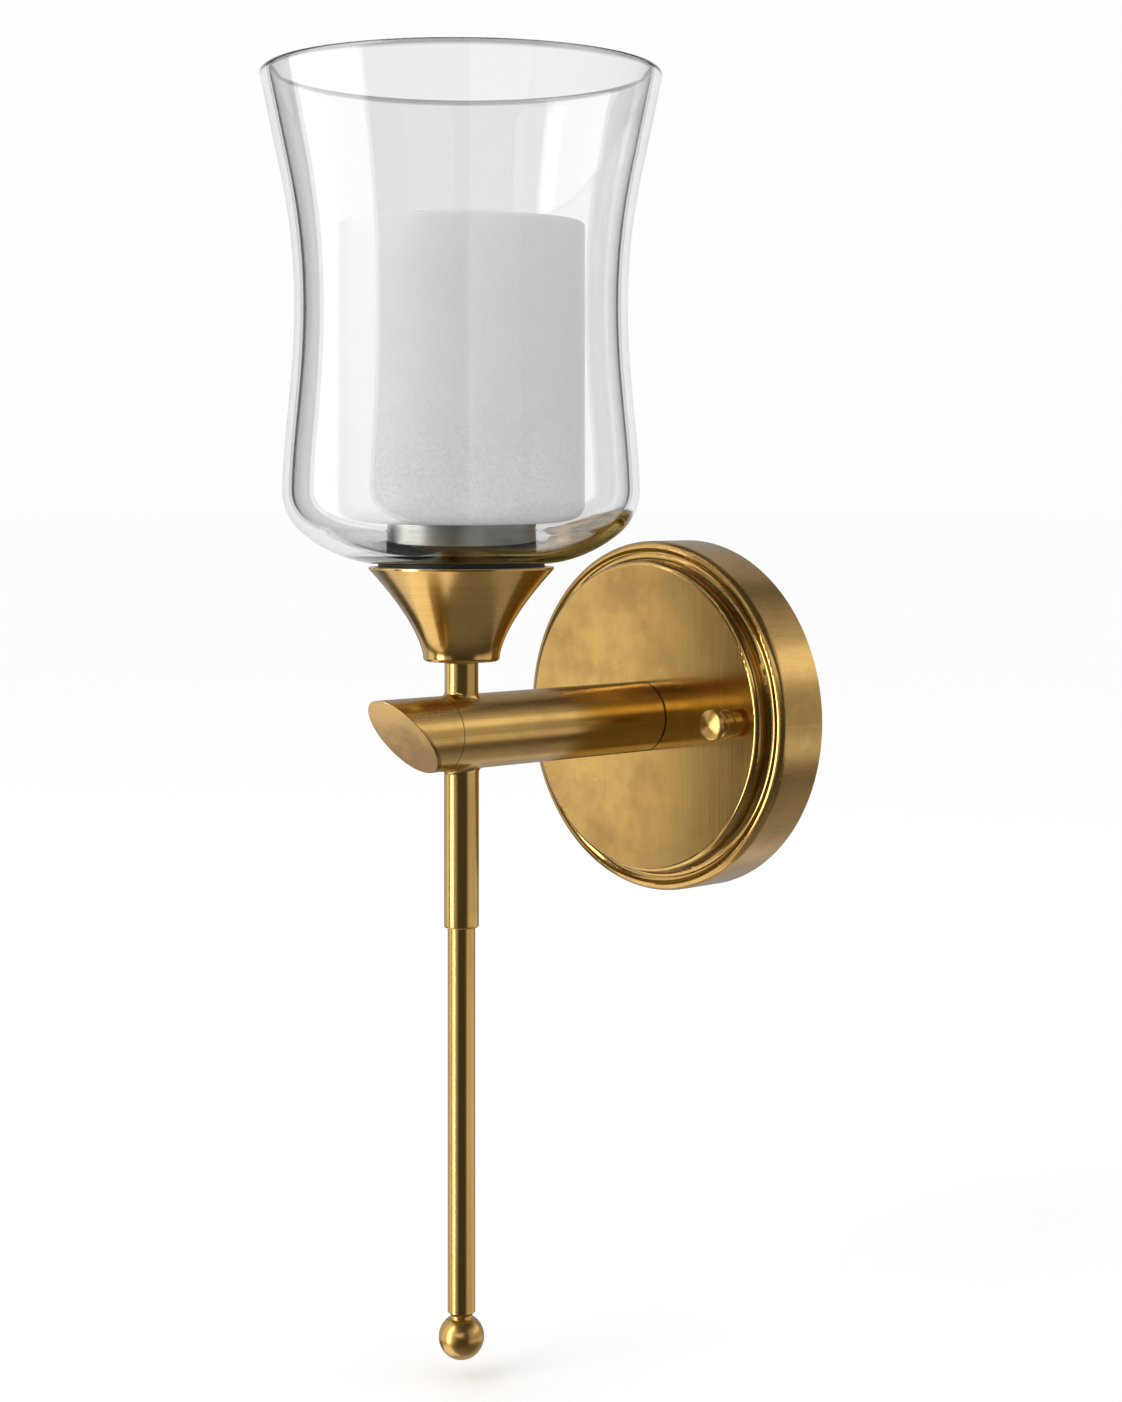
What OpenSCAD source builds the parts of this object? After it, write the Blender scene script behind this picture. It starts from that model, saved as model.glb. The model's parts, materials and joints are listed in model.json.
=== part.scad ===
// Wall light on a round canopy: a mitred brass arm carries a tall stem with a
// flared cup, a waisted clear glass shade, a frosted inner glass and a tail rod
// that ends in a ball. The wall is the plane y = 0 and the light stands out of
// it towards -Y. +Z is up and X runs along the wall. The origin is the point of
// the wall that the arm's axis meets.

/* [Canopy] */
// Outer diameter of the canopy
canopy_d = 135; // [134:1:150]
// Height of the canopy's side wall off the wall
canopy_side_h = 22.5; // [21:0.5:24]
// Distance of the canopy's raised face from the wall
canopy_face_y = 28; // [27:0.5:30]
// Diameter of the raised face
face_d = 120; // [112:1:120]
// Sheet thickness of the canopy
canopy_wall = 1.4; // [1:0.1:1.8]
// Centre distance of the two studs that hold the canopy
stud_spacing = 89; // [86:1:96]

/* [Arm] */
// Outer diameter of the arm tube
arm_d = 27; // [25:0.5:28]
// Wall thickness of the arm tube
arm_wall = 1.5; // [1:0.1:2]
// Distance of the stem's axis from the wall
stem_y = 121; // [115:1:130]
// Distance of the joint between arm and nose from the stem's axis
nose_joint = 10.7; // [10.5:0.1:12]
// Distance of the middle of the nose's cut from the stem's axis
nose_reach = 28; // [26:0.5:32]
// Angle of the nose's cut away from upright
nose_angle = 40; // [30:1:45]

/* [Stem and tail] */
// Outer diameter of the short stem between arm and cup
stem_d = 12.2; // [12:0.1:13]
// Outer diameter of the sleeve under the arm
sleeve_d = 12.6; // [12.2:0.1:14]
// Height of the sleeve's lower end below the arm's axis
sleeve_drop = 70.3; // [60:0.1:80]
// Diameter of the tail rod
rod_d = 10; // [9:0.1:10]
// Height of the rod's lower end below the arm's axis
rod_drop = 209.6; // [180:0.1:240]
// Diameter of the ball at the end of the rod
ball_d = 16.4; // [14:0.1:20]

/* [Cup] */
// Height of the cup's underside above the arm's axis
cup_bottom_z = 25.6; // [24:0.1:28]
// Height of the cup's rim above the arm's axis
cup_top_z = 59.6; // [58:0.1:62]
// Radius of the cup at its rim
cup_top_r = 33.4; // [32:0.1:36]
// Radius of the cup at its foot
cup_foot_r = 13.8; // [13.5:0.1:15]
// How much the cup's side hollows (1 is a straight cone)
cup_flare = 1.5; // [1.2:0.1:1.8]

/* [Clear glass] */
// Height of the shade from its foot to its lip
shade_h = 177; // [170:1:190]
// Outer radius at the lip
lip_r = 72.2; // [70:0.1:74]
// Outer radius at the waist
waist_r = 59.8; // [59.5:0.1:61]
// Outer radius at the belly
belly_r = 64.1; // [63:0.1:66]
// Thickness of the shade's wall
shade_wall = 4; // [3.5:0.1:4.2]

/* [Frosted glass] */
// Outer radius of the inner glass
frost_r = 44.5; // [40:0.5:46]
// Height of the inner glass
frost_h = 109; // [104:1:115]
// Thickness of the inner glass
frost_wall = 3; // [2.5:0.1:3.5]

/* [Hidden] */
$fn = 96;

// Threads are drawn as plain cylinders at their nominal size
pipe_d = 10;
pipe_bore = 8;
stud_d = 4;
// Radial gap of a screwed joint, and of a tube that slips over the pipe
thread_gap = 0.05;
slip_gap = 0.15;
// Gap between two pieces that lie face to face on a curve
seat_gap = 0.05;

arm_r = arm_d / 2;
arm_bore_r = arm_r - arm_wall;
nose_y = stem_y + nose_joint;
nose_mid_y = stem_y + nose_reach;
plate_t = 1.3;

// Crossbar: a strip whose ends stand off the wall to clear the stud heads
bar_w = 20;
bar_t = 2;
bar_mid_l = 76;
bar_l = 106;
bar_rise = 3.6;
bar_slot_spacing = 60;
bar_slot_w = 5;
bar_slot_l = 13;
bar_hole_d = 16;
stud_head_d = 8;
stud_head_h = 2.8;
stud_tip_y = 34.5;
nut_af = 7;
nut_h = 3.2;
earth_screw_x = -16;
earth_head_d = 8;
earth_head_h = 2.4;

// Stack on the arm's nipple, counted from the inside of the canopy's face
canopy_inner_y = canopy_face_y - canopy_wall;
arm_washer_t = 1.5;
lug_t = 0.8;
arm_nut_h = 5;
nipple_back_y = canopy_inner_y - arm_washer_t - lug_t - arm_nut_h - 1.8;
bush_l = 8;
nipple_nut_af = 14;
arm_washer_r = 11;

// Cap nuts
cap_washer_t = 0.6;
cap_collar_h = 4;
cap_neck_h = 2.2;
cap_head_h = 2.4;
cap_tip_h = 1.3;

// Stack on the stem pipe
pipe_bottom_z = -24;
pipe_top_z = 79.4;
rod_neck_r = 3.9;
// How far the ball's stud reaches into the rod, and into the ball
finial_reach = 7;
cup_t = 2;
cup_wall = 1.6;
cup_plate_r = cup_top_r - cup_wall - 1.8;
cup_washer_t = 1.2;
cup_nut_h = 4;
gasket_t = 1.5;
shade_z = cup_top_z + gasket_t;
floor_t = 5.5;
clamp_gasket_t = 0.8;
clamp_z = shade_z + floor_t + clamp_gasket_t;
clamp_h = 6.6;
clamp_r = 27;
clamp_t = 2;
frost_z = clamp_z + clamp_h + 0.3;
frost_hole_r = 23;
holder_z = clamp_z + clamp_h;
holder_r = 14.5;
holder_h = 32;
socket_z = holder_z + 10;
shell_r = 7.8;
bulb_z = socket_z + 2.6;
bulb_cap_h = 18;
bulb_cap_r = 6.9;
bulb_h = 68;
bulb_r = 17.5;

// Terminal block, behind the canopy's face and above the nipple
block_z = 24;
block_l = 26;
block_h = 12;
block_t = 10;
pole_pitch = 8;
pole_y = 21.6;
pole_bore_d = 3.4;

// Lead wires: centre line points as [x, y, z]. The live wire follows the list
// and the neutral wire is its mirror image in x.
wire_d = 2;
lead_route = [
    [8, -21.6, 25], [8, -21.5, 22], [7.6, -20, 19], [6.6, -16.6, 16.6], [5.2, -12.4, 14.4],
    [3.8, -9.4, 10.8], [2.8, -8.6, 6.8], [2, -10.2, 3], [1.6, -13.6, 0.6], [1.5, -18, 0],
    [1.5, -30, 0], [1.5, -60, -1], [1.5, -90, -2], [1.5, -106, -2.4], [1.5, -112, -1.8],
    [1.5, -117, 1], [1.5, -120, 5.6], [1.5, -121, 11], [1.5, -121, 30], [1.5, -121, 55],
    [1.5, -121, 74], [2, -121, 81], [2.4, -121, 82.6]
];
earth_route = [
    [0, -23.6, 11.2], [0, -23.6, 13.8], [0, -23.5, 15.4], [0, -23, 17.4],
    [0, -22.2, 19.8], [0, -21.6, 22.4], [0, -21.6, 25]
];

// ---- helpers ----

// Turns a child that is built along +Z so that it stands out of the wall
module from_wall(y = 0) {
    translate([0, -y, 0]) rotate([90, 0, 0]) children();
}

// Moves a child onto the stem's axis
module on_stem(z = 0) {
    translate([0, -stem_y, z]) children();
}

// Places a child at one of the two stud positions (side is 1 or -1)
module at_stud(side) {
    translate([side * stud_spacing / 2, 0, 0]) children();
}

module ring(r_out, r_in, h) {
    difference() {
        cylinder(r = r_out, h = h);
        translate([0, 0, -1]) cylinder(r = r_in, h = h + 2);
    }
}

module hex_nut(af, bore_r, h) {
    difference() {
        cylinder(d = af / cos(30), h = h, $fn = 6);
        translate([0, 0, -1]) cylinder(r = bore_r, h = h + 2);
    }
}

// Rectangle from the axis out to r, with its outer upper corner rounded
module round_top_half(r, h, round_r) {
    square([r - round_r, h]);
    square([r, h - round_r]);
    translate([r - round_r, h - round_r]) circle(round_r);
}

// Points of an arc about [cx, cz]
function arc(cx, cz, r, a0, a1, n) =
    [for (i = [0:n]) let(a = a0 + (a1 - a0) * i / n) [cx + r * cos(a), cz + r * sin(a)]];

function unit(v) = v / norm(v);

// Tube along a list of points, none of whose stretches may run along X
module wire(route, d) {
    sides = 8;
    last = len(route) - 1;
    rings = [for (i = [0:last])
        let(
            dir = unit(route[min(i + 1, last)] - route[max(i - 1, 0)]),
            u = unit(cross(dir, [1, 0, 0])),
            v = cross(dir, u)
        )
        for (k = [0:sides - 1])
            route[i] + d / 2 * (u * cos(k * 360 / sides) + v * sin(k * 360 / sides))];
    walls = [for (i = [0:last - 1], k = [0:sides - 1])
        let(n = (k + 1) % sides)
        [i * sides + k, (i + 1) * sides + k, (i + 1) * sides + n, i * sides + n]];
    start = [[for (k = [0:sides - 1]) k]];
    end = [[for (k = [sides - 1:-1:0]) last * sides + k]];
    polyhedron(points = rings, faces = concat(walls, start, end));
}

// ---- wall bracket ----

module crossbar() {
    step_x = bar_mid_l / 2;
    end_l = (bar_l - bar_mid_l) / 2;
    color("silver") difference() {
        union() {
            translate([-step_x, -bar_t, -bar_w / 2]) cube([bar_mid_l, bar_t, bar_w]);
            for (side = [-1, 1]) {
                // Step off the wall, and the raised end
                translate([side * (step_x - bar_t / 2) - bar_t / 2, -bar_rise - bar_t, -bar_w / 2])
                    cube([bar_t, bar_rise + bar_t, bar_w]);
                translate([side * (step_x + end_l / 2 - bar_t / 2) - (end_l + bar_t) / 2,
                           -bar_rise - bar_t, -bar_w / 2])
                    cube([end_l + bar_t, bar_t, bar_w]);
            }
        }
        from_wall(-1) cylinder(d = bar_hole_d, h = bar_t + 2);
        for (side = [-1, 1]) {
            // Slot for a wall or box screw
            for (end = [-1, 1])
                translate([side * bar_slot_spacing / 2 + end * (bar_slot_l - bar_slot_w) / 2, 0, 0])
                    from_wall(-1) cylinder(d = bar_slot_w, h = bar_t + 2);
            translate([side * bar_slot_spacing / 2 - (bar_slot_l - bar_slot_w) / 2,
                       -bar_t - 1, -bar_slot_w / 2])
                cube([bar_slot_l - bar_slot_w, bar_t + 2, bar_slot_w]);
            // Hole for a canopy stud
            at_stud(side) from_wall(bar_rise - 1)
                cylinder(r = stud_d / 2 + thread_gap, h = bar_t + 2);
        }
        translate([earth_screw_x, 0, 0]) from_wall(-1)
            cylinder(r = stud_d / 2 + thread_gap, h = bar_t + 2);
    }
}

module canopy_studs() {
    color("silver") for (side = [-1, 1]) at_stud(side) {
        from_wall(bar_rise - stud_head_h) cylinder(d = stud_head_d, h = stud_head_h);
        from_wall(bar_rise - 0.5) cylinder(d = stud_d, h = stud_tip_y - bar_rise + 0.5);
    }
}

module stud_nuts() {
    color("silver") for (side = [-1, 1]) at_stud(side)
        from_wall(bar_rise + bar_t) hex_nut(nut_af, stud_d / 2 + thread_gap, nut_h);
}

module earth_screw() {
    slot_depth = 1;
    slot_w = 1;
    color("gold") translate([earth_screw_x, 0, 0]) difference() {
        union() {
            from_wall(0.2) cylinder(d = stud_d, h = bar_t);
            from_wall(bar_t) cylinder(d = earth_head_d, h = earth_head_h);
        }
        translate([-earth_head_d, -bar_t - earth_head_h - slot_depth, -slot_w / 2])
            cube([2 * earth_head_d, 2 * slot_depth, slot_w]);
    }
}

// ---- canopy and its nuts ----

module canopy() {
    face_r = face_d / 2;
    outer_r = canopy_d / 2;
    cove_r = 2.5;
    inner_side_h = canopy_side_h - 2.9;
    color("goldenrod") difference() {
        from_wall() rotate_extrude() difference() {
            union() {
                round_top_half(outer_r, canopy_side_h, 3);
                round_top_half(face_r, canopy_face_y, 2);
            }
            // Cove around the raised face
            translate([face_r + cove_r + 0.1, canopy_side_h + 1.2]) circle(cove_r);
            // Hollow inside
            translate([0, -1]) square([outer_r - canopy_wall, inner_side_h + 1]);
            translate([0, -1]) square([face_r - canopy_wall, canopy_inner_y + 1]);
        }
        from_wall(canopy_side_h) cylinder(r = pipe_d / 2 + slip_gap, h = 10);
        for (side = [-1, 1]) at_stud(side)
            from_wall(canopy_side_h) cylinder(d = stud_d + 1, h = 10);
    }
}

module cap_washer(side) {
    color("goldenrod") at_stud(side) from_wall(canopy_face_y)
        ring(5.4, stud_d / 2 + thread_gap, cap_washer_t);
}
module cap_washer_left() { cap_washer(-1); }
module cap_washer_right() { cap_washer(1); }

// Turned nut: collar, neck and a head with a shallow pointed face
module cap_nut(side) {
    neck_z = cap_collar_h + cap_neck_h;
    head_z = neck_z + cap_head_h;
    base_y = canopy_face_y + cap_washer_t;
    color("goldenrod") at_stud(side) from_wall(base_y) difference() {
        rotate_extrude() polygon([
            [0, 0], [4.5, 0], [4.9, 0.4], [4.9, cap_collar_h - 0.6], [4.3, cap_collar_h],
            [3.6, cap_collar_h + 0.5], [3.5, cap_collar_h + 1.2], [4, neck_z - 0.3],
            [5.2, neck_z], [5.7, neck_z + 0.5], [5.7, head_z - 0.5], [5.2, head_z],
            [0, head_z + cap_tip_h]
        ]);
        translate([0, 0, -1])
            cylinder(r = stud_d / 2 + thread_gap, h = stud_tip_y - base_y + 1.6);
    }
}
module cap_nut_left() { cap_nut(-1); }
module cap_nut_right() { cap_nut(1); }

// ---- arm ----

module arm_tube() {
    color("goldenrod") difference() {
        from_wall(canopy_face_y) ring(arm_r, arm_bore_r, nose_y - canopy_face_y);
        on_stem(-arm_d) cylinder(r = pipe_d / 2 + slip_gap, h = 2 * arm_d);
    }
}

// Everything that lies on the wall's side of the nose's slanted cut
module behind_cut(offset) {
    far = 80;
    translate([0, -nose_mid_y, 0]) rotate([nose_angle, 0, 0])
        translate([-far / 2, offset, -far / 2]) cube([far, far, far]);
}

module arm_nose() {
    spigot_l = 4;
    joint_line = 0.15;
    nose_bore_r = arm_bore_r - 1.5;
    color("goldenrod") intersection() {
        union() {
            from_wall(nose_y + joint_line) ring(arm_r, nose_bore_r, 2 * arm_d);
            from_wall(nose_y - spigot_l) ring(arm_bore_r - seat_gap, nose_bore_r, spigot_l + 1);
        }
        behind_cut(plate_t);
    }
}

module nose_plate() {
    color("goldenrod") difference() {
        intersection() {
            from_wall(nose_y) cylinder(r = arm_r, h = 2 * arm_d);
            behind_cut(0);
        }
        behind_cut(plate_t);
    }
}

module arm_bush() {
    color("goldenrod") from_wall(canopy_face_y)
        ring(arm_bore_r - seat_gap, pipe_d / 2 + thread_gap, bush_l);
}

module arm_nipple() {
    color("silver") from_wall(nipple_back_y)
        ring(pipe_d / 2, pipe_bore / 2, canopy_face_y + bush_l - nipple_back_y);
}

module arm_washer() {
    color("silver") from_wall(canopy_inner_y - arm_washer_t)
        ring(arm_washer_r, pipe_d / 2 + slip_gap, arm_washer_t);
}

module arm_nut() {
    color("silver") from_wall(canopy_inner_y - arm_washer_t - lug_t - arm_nut_h)
        hex_nut(nipple_nut_af, pipe_d / 2 + thread_gap, arm_nut_h);
}

// Ring terminal with a crimped tail for the earth wire
module earth_lug() {
    lug_y = canopy_inner_y - arm_washer_t - lug_t;
    tail_w = 5;
    barrel_z = 10.4;
    barrel_h = 3;
    barrel_floor = 0.6;
    color("gold") {
        difference() {
            union() {
                from_wall(lug_y) cylinder(r = 8, h = lug_t);
                translate([-tail_w / 2, -lug_y - lug_t, 0]) cube([tail_w, lug_t, barrel_z + barrel_floor]);
            }
            from_wall(lug_y - 1) cylinder(r = pipe_d / 2 + slip_gap, h = lug_t + 2);
        }
        translate([0, earth_route[0][1], barrel_z]) difference() {
            cylinder(d = wire_d + 1, h = barrel_h);
            translate([0, 0, barrel_floor]) cylinder(d = wire_d + 0.1, h = barrel_h);
        }
    }
}

// ---- stem ----

module stem_pipe() {
    window_h = 18;
    window_w = 6.4;
    color("silver") difference() {
        on_stem(pipe_bottom_z) ring(pipe_d / 2, pipe_bore / 2, pipe_top_z - pipe_bottom_z);
        // Window in the pipe's back, where the wires come in from the arm
        translate([-window_w / 2, -stem_y + 1, -window_h / 2]) cube([window_w, 6, window_h]);
    }
}

// Arm's round surface, which the ends of stem and sleeve are shaped to
module arm_saddle() {
    from_wall(canopy_face_y) cylinder(r = arm_r + seat_gap, h = nose_mid_y);
}

// Small hollow flare where a tube of diameter d meets the arm
module weld_flare(d) {
    flare_r = 1.6;
    rotate_extrude() difference() {
        square([d / 2 + flare_r, arm_r + flare_r]);
        translate([d / 2 + flare_r, arm_r + flare_r]) circle(flare_r);
    }
}

module upper_stem() {
    color("goldenrod") difference() {
        on_stem() union() {
            cylinder(d = stem_d, h = cup_bottom_z);
            weld_flare(stem_d);
        }
        on_stem(-1) cylinder(r = pipe_d / 2 + slip_gap, h = cup_bottom_z + 2);
        arm_saddle();
    }
}

module lower_sleeve() {
    color("goldenrod") difference() {
        on_stem() mirror([0, 0, 1]) union() {
            rotate_extrude() round_top_half(sleeve_d / 2, sleeve_drop, 0.9);
            weld_flare(sleeve_d);
        }
        on_stem(-sleeve_drop - 1) cylinder(r = pipe_d / 2 + thread_gap, h = sleeve_drop + 2);
        arm_saddle();
    }
}

module tail_rod() {
    rod_top_z = pipe_bottom_z - 2;
    chamfer = rod_d / 2 - rod_neck_r;
    color("goldenrod") on_stem() difference() {
        union() {
            translate([0, 0, -rod_drop + chamfer]) cylinder(d = rod_d, h = rod_drop + rod_top_z - chamfer);
            translate([0, 0, -rod_drop]) cylinder(r1 = rod_neck_r, r2 = rod_d / 2, h = chamfer);
        }
        translate([0, 0, -rod_drop - 1]) cylinder(r = stud_d / 2 + thread_gap, h = finial_reach + 2);
    }
}

module finial_stud() {
    color("silver") on_stem(-rod_drop - finial_reach) cylinder(d = stud_d, h = 2 * finial_reach);
}

module ball_finial() {
    neck_h = 1.6;
    ball_z = -rod_drop - ball_d / 2 + 0.2;
    color("goldenrod") on_stem() difference() {
        union() {
            translate([0, 0, ball_z]) sphere(d = ball_d);
            translate([0, 0, -rod_drop - neck_h]) cylinder(r = rod_neck_r, h = neck_h - 0.05);
        }
        translate([0, 0, -rod_drop - finial_reach - 1])
            cylinder(r = stud_d / 2 + thread_gap, h = finial_reach + 2);
    }
}

// ---- cup ----

// Radius of the cup's outside at a height between 0 (foot) and 1 (rim)
function cup_r(u) = cup_foot_r + (cup_top_r - cup_foot_r) * pow(u, cup_flare);

module cone_cup() {
    steps = 24;
    foot_round = 1.4;
    lip_h = 0.8;
    h = cup_top_z - cup_bottom_z - lip_h;
    side = [for (i = [1:steps]) let(u = i / steps) [cup_r(u), foot_round + (h - foot_round) * u]];
    inner = [for (i = [steps:-1:2]) let(u = i / steps)
        [cup_r(u) - cup_wall, foot_round + (h - foot_round) * u]];
    color("goldenrod") on_stem(cup_bottom_z) difference() {
        rotate_extrude() polygon(concat(
            [[0, 0]],
            arc(cup_foot_r - foot_round, foot_round, foot_round, -90, 0, 4),
            side,
            [[cup_top_r, h + lip_h], [cup_top_r - cup_wall, h + lip_h]],
            inner,
            [[cup_foot_r - cup_wall, cup_t], [0, cup_t]]
        ));
        translate([0, 0, -1]) cylinder(r = pipe_d / 2 + slip_gap, h = cup_t + 2);
    }
}

module cup_washer() {
    color("silver") on_stem(cup_bottom_z + cup_t) ring(10, pipe_d / 2 + slip_gap, cup_washer_t);
}

module cup_nut() {
    color("silver") on_stem(cup_bottom_z + cup_t + cup_washer_t)
        hex_nut(nipple_nut_af, pipe_d / 2 + thread_gap, cup_nut_h);
}

module cup_plate() {
    color("dimgray") on_stem(cup_top_z - cup_t) ring(cup_plate_r, pipe_d / 2 + slip_gap, cup_t);
}

module shade_gasket() {
    color("black") on_stem(cup_top_z) ring(cup_plate_r, pipe_d / 2 + 2, gasket_t);
}

// ---- glass ----

// Outline of the shade's outside when inset is 0, or of its inside, from the
// foot up. It is a shallow bowl, a tight belly, a waist and a straight flare.
function shade_outline(inset) =
    let(
        belly_h = 26,
        belly_arc_r = 20,
        bowl_arc_r = 50,
        belly_turn = 50,
        waist_h = 92,
        flare_h = 139,
        flare_slope = 12,
        waist_round = (flare_h - waist_h) / sin(flare_slope),
        flare_r = waist_r - inset + waist_round * (1 - cos(flare_slope)),
        belly_x = belly_r - belly_arc_r,
        bowl_x = belly_x - (bowl_arc_r - belly_arc_r) * cos(belly_turn),
        bowl_z = belly_h + (bowl_arc_r - belly_arc_r) * sin(belly_turn),
        foot_h = inset > 0 ? floor_t : 0,
        foot_turn = acos((bowl_z - foot_h) / (bowl_arc_r - inset))
    )
    concat(
        arc(bowl_x, bowl_z, bowl_arc_r - inset, foot_turn - 90, -belly_turn, 8),
        arc(belly_x, belly_h, belly_arc_r - inset, -belly_turn, 0, 10),
        [for (i = [1:8]) let(u = i / 8)
            [belly_r - inset - (belly_r - waist_r) * pow(sin(90 * u), 1.6),
             belly_h + (waist_h - belly_h) * u]],
        [for (i = [1:8]) let(a = flare_slope * i / 8)
            [waist_r - inset + waist_round * (1 - cos(a)), waist_h + waist_round * sin(a)]],
        [[flare_r + (shade_h - shade_wall / 2 - flare_h) * tan(flare_slope), shade_h - shade_wall / 2]]
    );

module clear_glass() {
    outside = shade_outline(0);
    inside = shade_outline(shade_wall);
    lip = outside[len(outside) - 1];
    lip_mid = lip[0] - shade_wall / 2;
    lip_round = arc(lip_mid, lip[1], shade_wall / 2, 0, 180, 12);
    inner_down = [for (i = [len(inside) - 2:-1:0]) inside[i]];
    color([0.85, 0.9, 0.92, 0.35]) on_stem(shade_z) difference() {
        rotate_extrude() polygon(concat([[0, 0]], outside, lip_round, inner_down, [[0, floor_t]]));
        translate([0, 0, -1]) cylinder(d = pipe_d + 3, h = floor_t + 2);
    }
}

module clamp_gasket() {
    color("black") on_stem(clamp_z - clamp_gasket_t) ring(clamp_r, clamp_r - 6, clamp_gasket_t);
}

// Turned-over dish that presses the shade down and centres the inner glass
module shade_clamp() {
    boss_r = frost_hole_r - 0.6;
    color("gainsboro") on_stem(clamp_z) difference() {
        union() {
            cylinder(r = clamp_r, h = clamp_h);
            translate([0, 0, clamp_h]) ring(boss_r, boss_r - clamp_t, clamp_t);
        }
        translate([0, 0, -1]) cylinder(r = clamp_r - clamp_t, h = clamp_h - clamp_t + 1);
        translate([0, 0, -1]) cylinder(r = pipe_d / 2 + slip_gap, h = clamp_h + 2);
    }
}

module frosted_glass() {
    corner = 7;
    wall = frost_wall;
    color([0.93, 0.93, 0.92, 0.8]) on_stem(frost_z) rotate_extrude() difference() {
        union() {
            translate([0, frost_h / 2]) mirror([0, 1]) round_top_half(frost_r, frost_h / 2, corner);
            translate([0, frost_h / 2 - 0.5]) round_top_half(frost_r, frost_h / 2 + 0.5, wall / 2 - 0.1);
        }
        translate([0, frost_h / 2]) mirror([0, 1])
            round_top_half(frost_r - wall, frost_h / 2 - wall, corner - wall);
        translate([0, frost_h / 2 - 1]) square([frost_r - wall, frost_h]);
        translate([-1, -1]) square([frost_hole_r + 1, wall + 2]);
    }
}

// ---- lampholder and lamp ----

module lampholder() {
    color("whitesmoke") on_stem(holder_z) difference() {
        rotate_extrude() round_top_half(holder_r, holder_h, 1.5);
        translate([0, 0, -1]) cylinder(r = pipe_d / 2 + thread_gap, h = 7);
        translate([0, 0, 5]) cylinder(r = 6.4, h = socket_z - holder_z - 6);
        translate([0, 0, socket_z - holder_z]) cylinder(r = shell_r + 0.1, h = holder_h);
    }
}

module screw_shell() {
    color("gold") on_stem(socket_z + 1.5) ring(shell_r, shell_r - 0.5, 20);
}

module centre_contact() {
    color("gold") on_stem(socket_z) {
        cylinder(r = 3.5, h = 0.8);
        cylinder(r = 1.6, h = 1.6);
    }
}

module bulb_cap() {
    color("silver") on_stem(bulb_z) {
        cylinder(r = 2.4, h = 1);
        translate([0, 0, 0.8]) cylinder(r1 = 4.4, r2 = bulb_cap_r - 0.5, h = 1.8);
        translate([0, 0, 2.5]) cylinder(r = bulb_cap_r, h = bulb_cap_h - 2.5);
    }
}

// Radius of the lamp's glass at a height between 0 (neck) and 1 (tip)
function bulb_half(u) = bulb_r * pow(sin(180 * pow(u, 0.72)), 0.8);

module bulb_glass() {
    steps = 24;
    wall = 0.9;
    neck_r = 6.6;
    outer = [for (i = [2:steps - 1]) let(u = i / steps) [max(neck_r, bulb_half(u)), u * bulb_h]];
    inner = [for (i = [steps - 2:-1:2]) let(u = i / steps) [max(neck_r, bulb_half(u)) - wall, u * bulb_h]];
    color([0.95, 0.95, 0.93, 0.6]) on_stem(bulb_z + bulb_cap_h + 0.1) rotate_extrude()
        polygon(concat([[neck_r, 0]], outer, [[0, bulb_h]], [[0, bulb_h - 2]], inner, [[neck_r - wall, 0]]));
}

// ---- connections ----

module terminal_block() {
    body_y = canopy_inner_y - block_t;
    color("whitesmoke") difference() {
        translate([-block_l / 2, -canopy_inner_y, block_z]) cube([block_l, block_t, block_h]);
        for (pole = [-1:1]) {
            // Wire way from below, and the way of its clamping screw
            translate([pole * pole_pitch, -pole_y, block_z - 1])
                cylinder(d = pole_bore_d, h = block_h + 2);
            translate([pole * pole_pitch, 0, block_z + block_h / 2]) from_wall(body_y - 1)
                cylinder(d = pole_bore_d, h = block_t / 2);
        }
    }
}

module terminal_screws() {
    screw_y = canopy_inner_y - block_t + 0.8;
    slot_depth = 0.7;
    slot_w = 0.6;
    color("silver") for (pole = [-1:1])
        translate([pole * pole_pitch, 0, block_z + block_h / 2]) difference() {
            from_wall(screw_y) cylinder(d = pole_bore_d - 0.2, h = 2.2);
            translate([-2, -screw_y - slot_depth, -slot_w / 2]) cube([4, 1, slot_w]);
        }
}

module live_wire() {
    color("saddlebrown") wire(lead_route, wire_d);
}

module neutral_wire() {
    color("royalblue") wire([for (p = lead_route) [-p[0], p[1], p[2]]], wire_d);
}

module earth_wire() {
    color("limegreen") wire(earth_route, wire_d);
}

crossbar();
canopy_studs();
stud_nuts();
earth_screw();
canopy();
cap_washer_left();
cap_washer_right();
cap_nut_left();
cap_nut_right();
arm_tube();
arm_nose();
nose_plate();
arm_bush();
arm_nipple();
arm_washer();
arm_nut();
earth_lug();
stem_pipe();
upper_stem();
lower_sleeve();
tail_rod();
finial_stud();
ball_finial();
cone_cup();
cup_washer();
cup_nut();
cup_plate();
shade_gasket();
clear_glass();
clamp_gasket();
shade_clamp();
frosted_glass();
lampholder();
screw_shell();
centre_contact();
bulb_cap();
bulb_glass();
terminal_block();
terminal_screws();
live_wire();
neutral_wire();
earth_wire();
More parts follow.
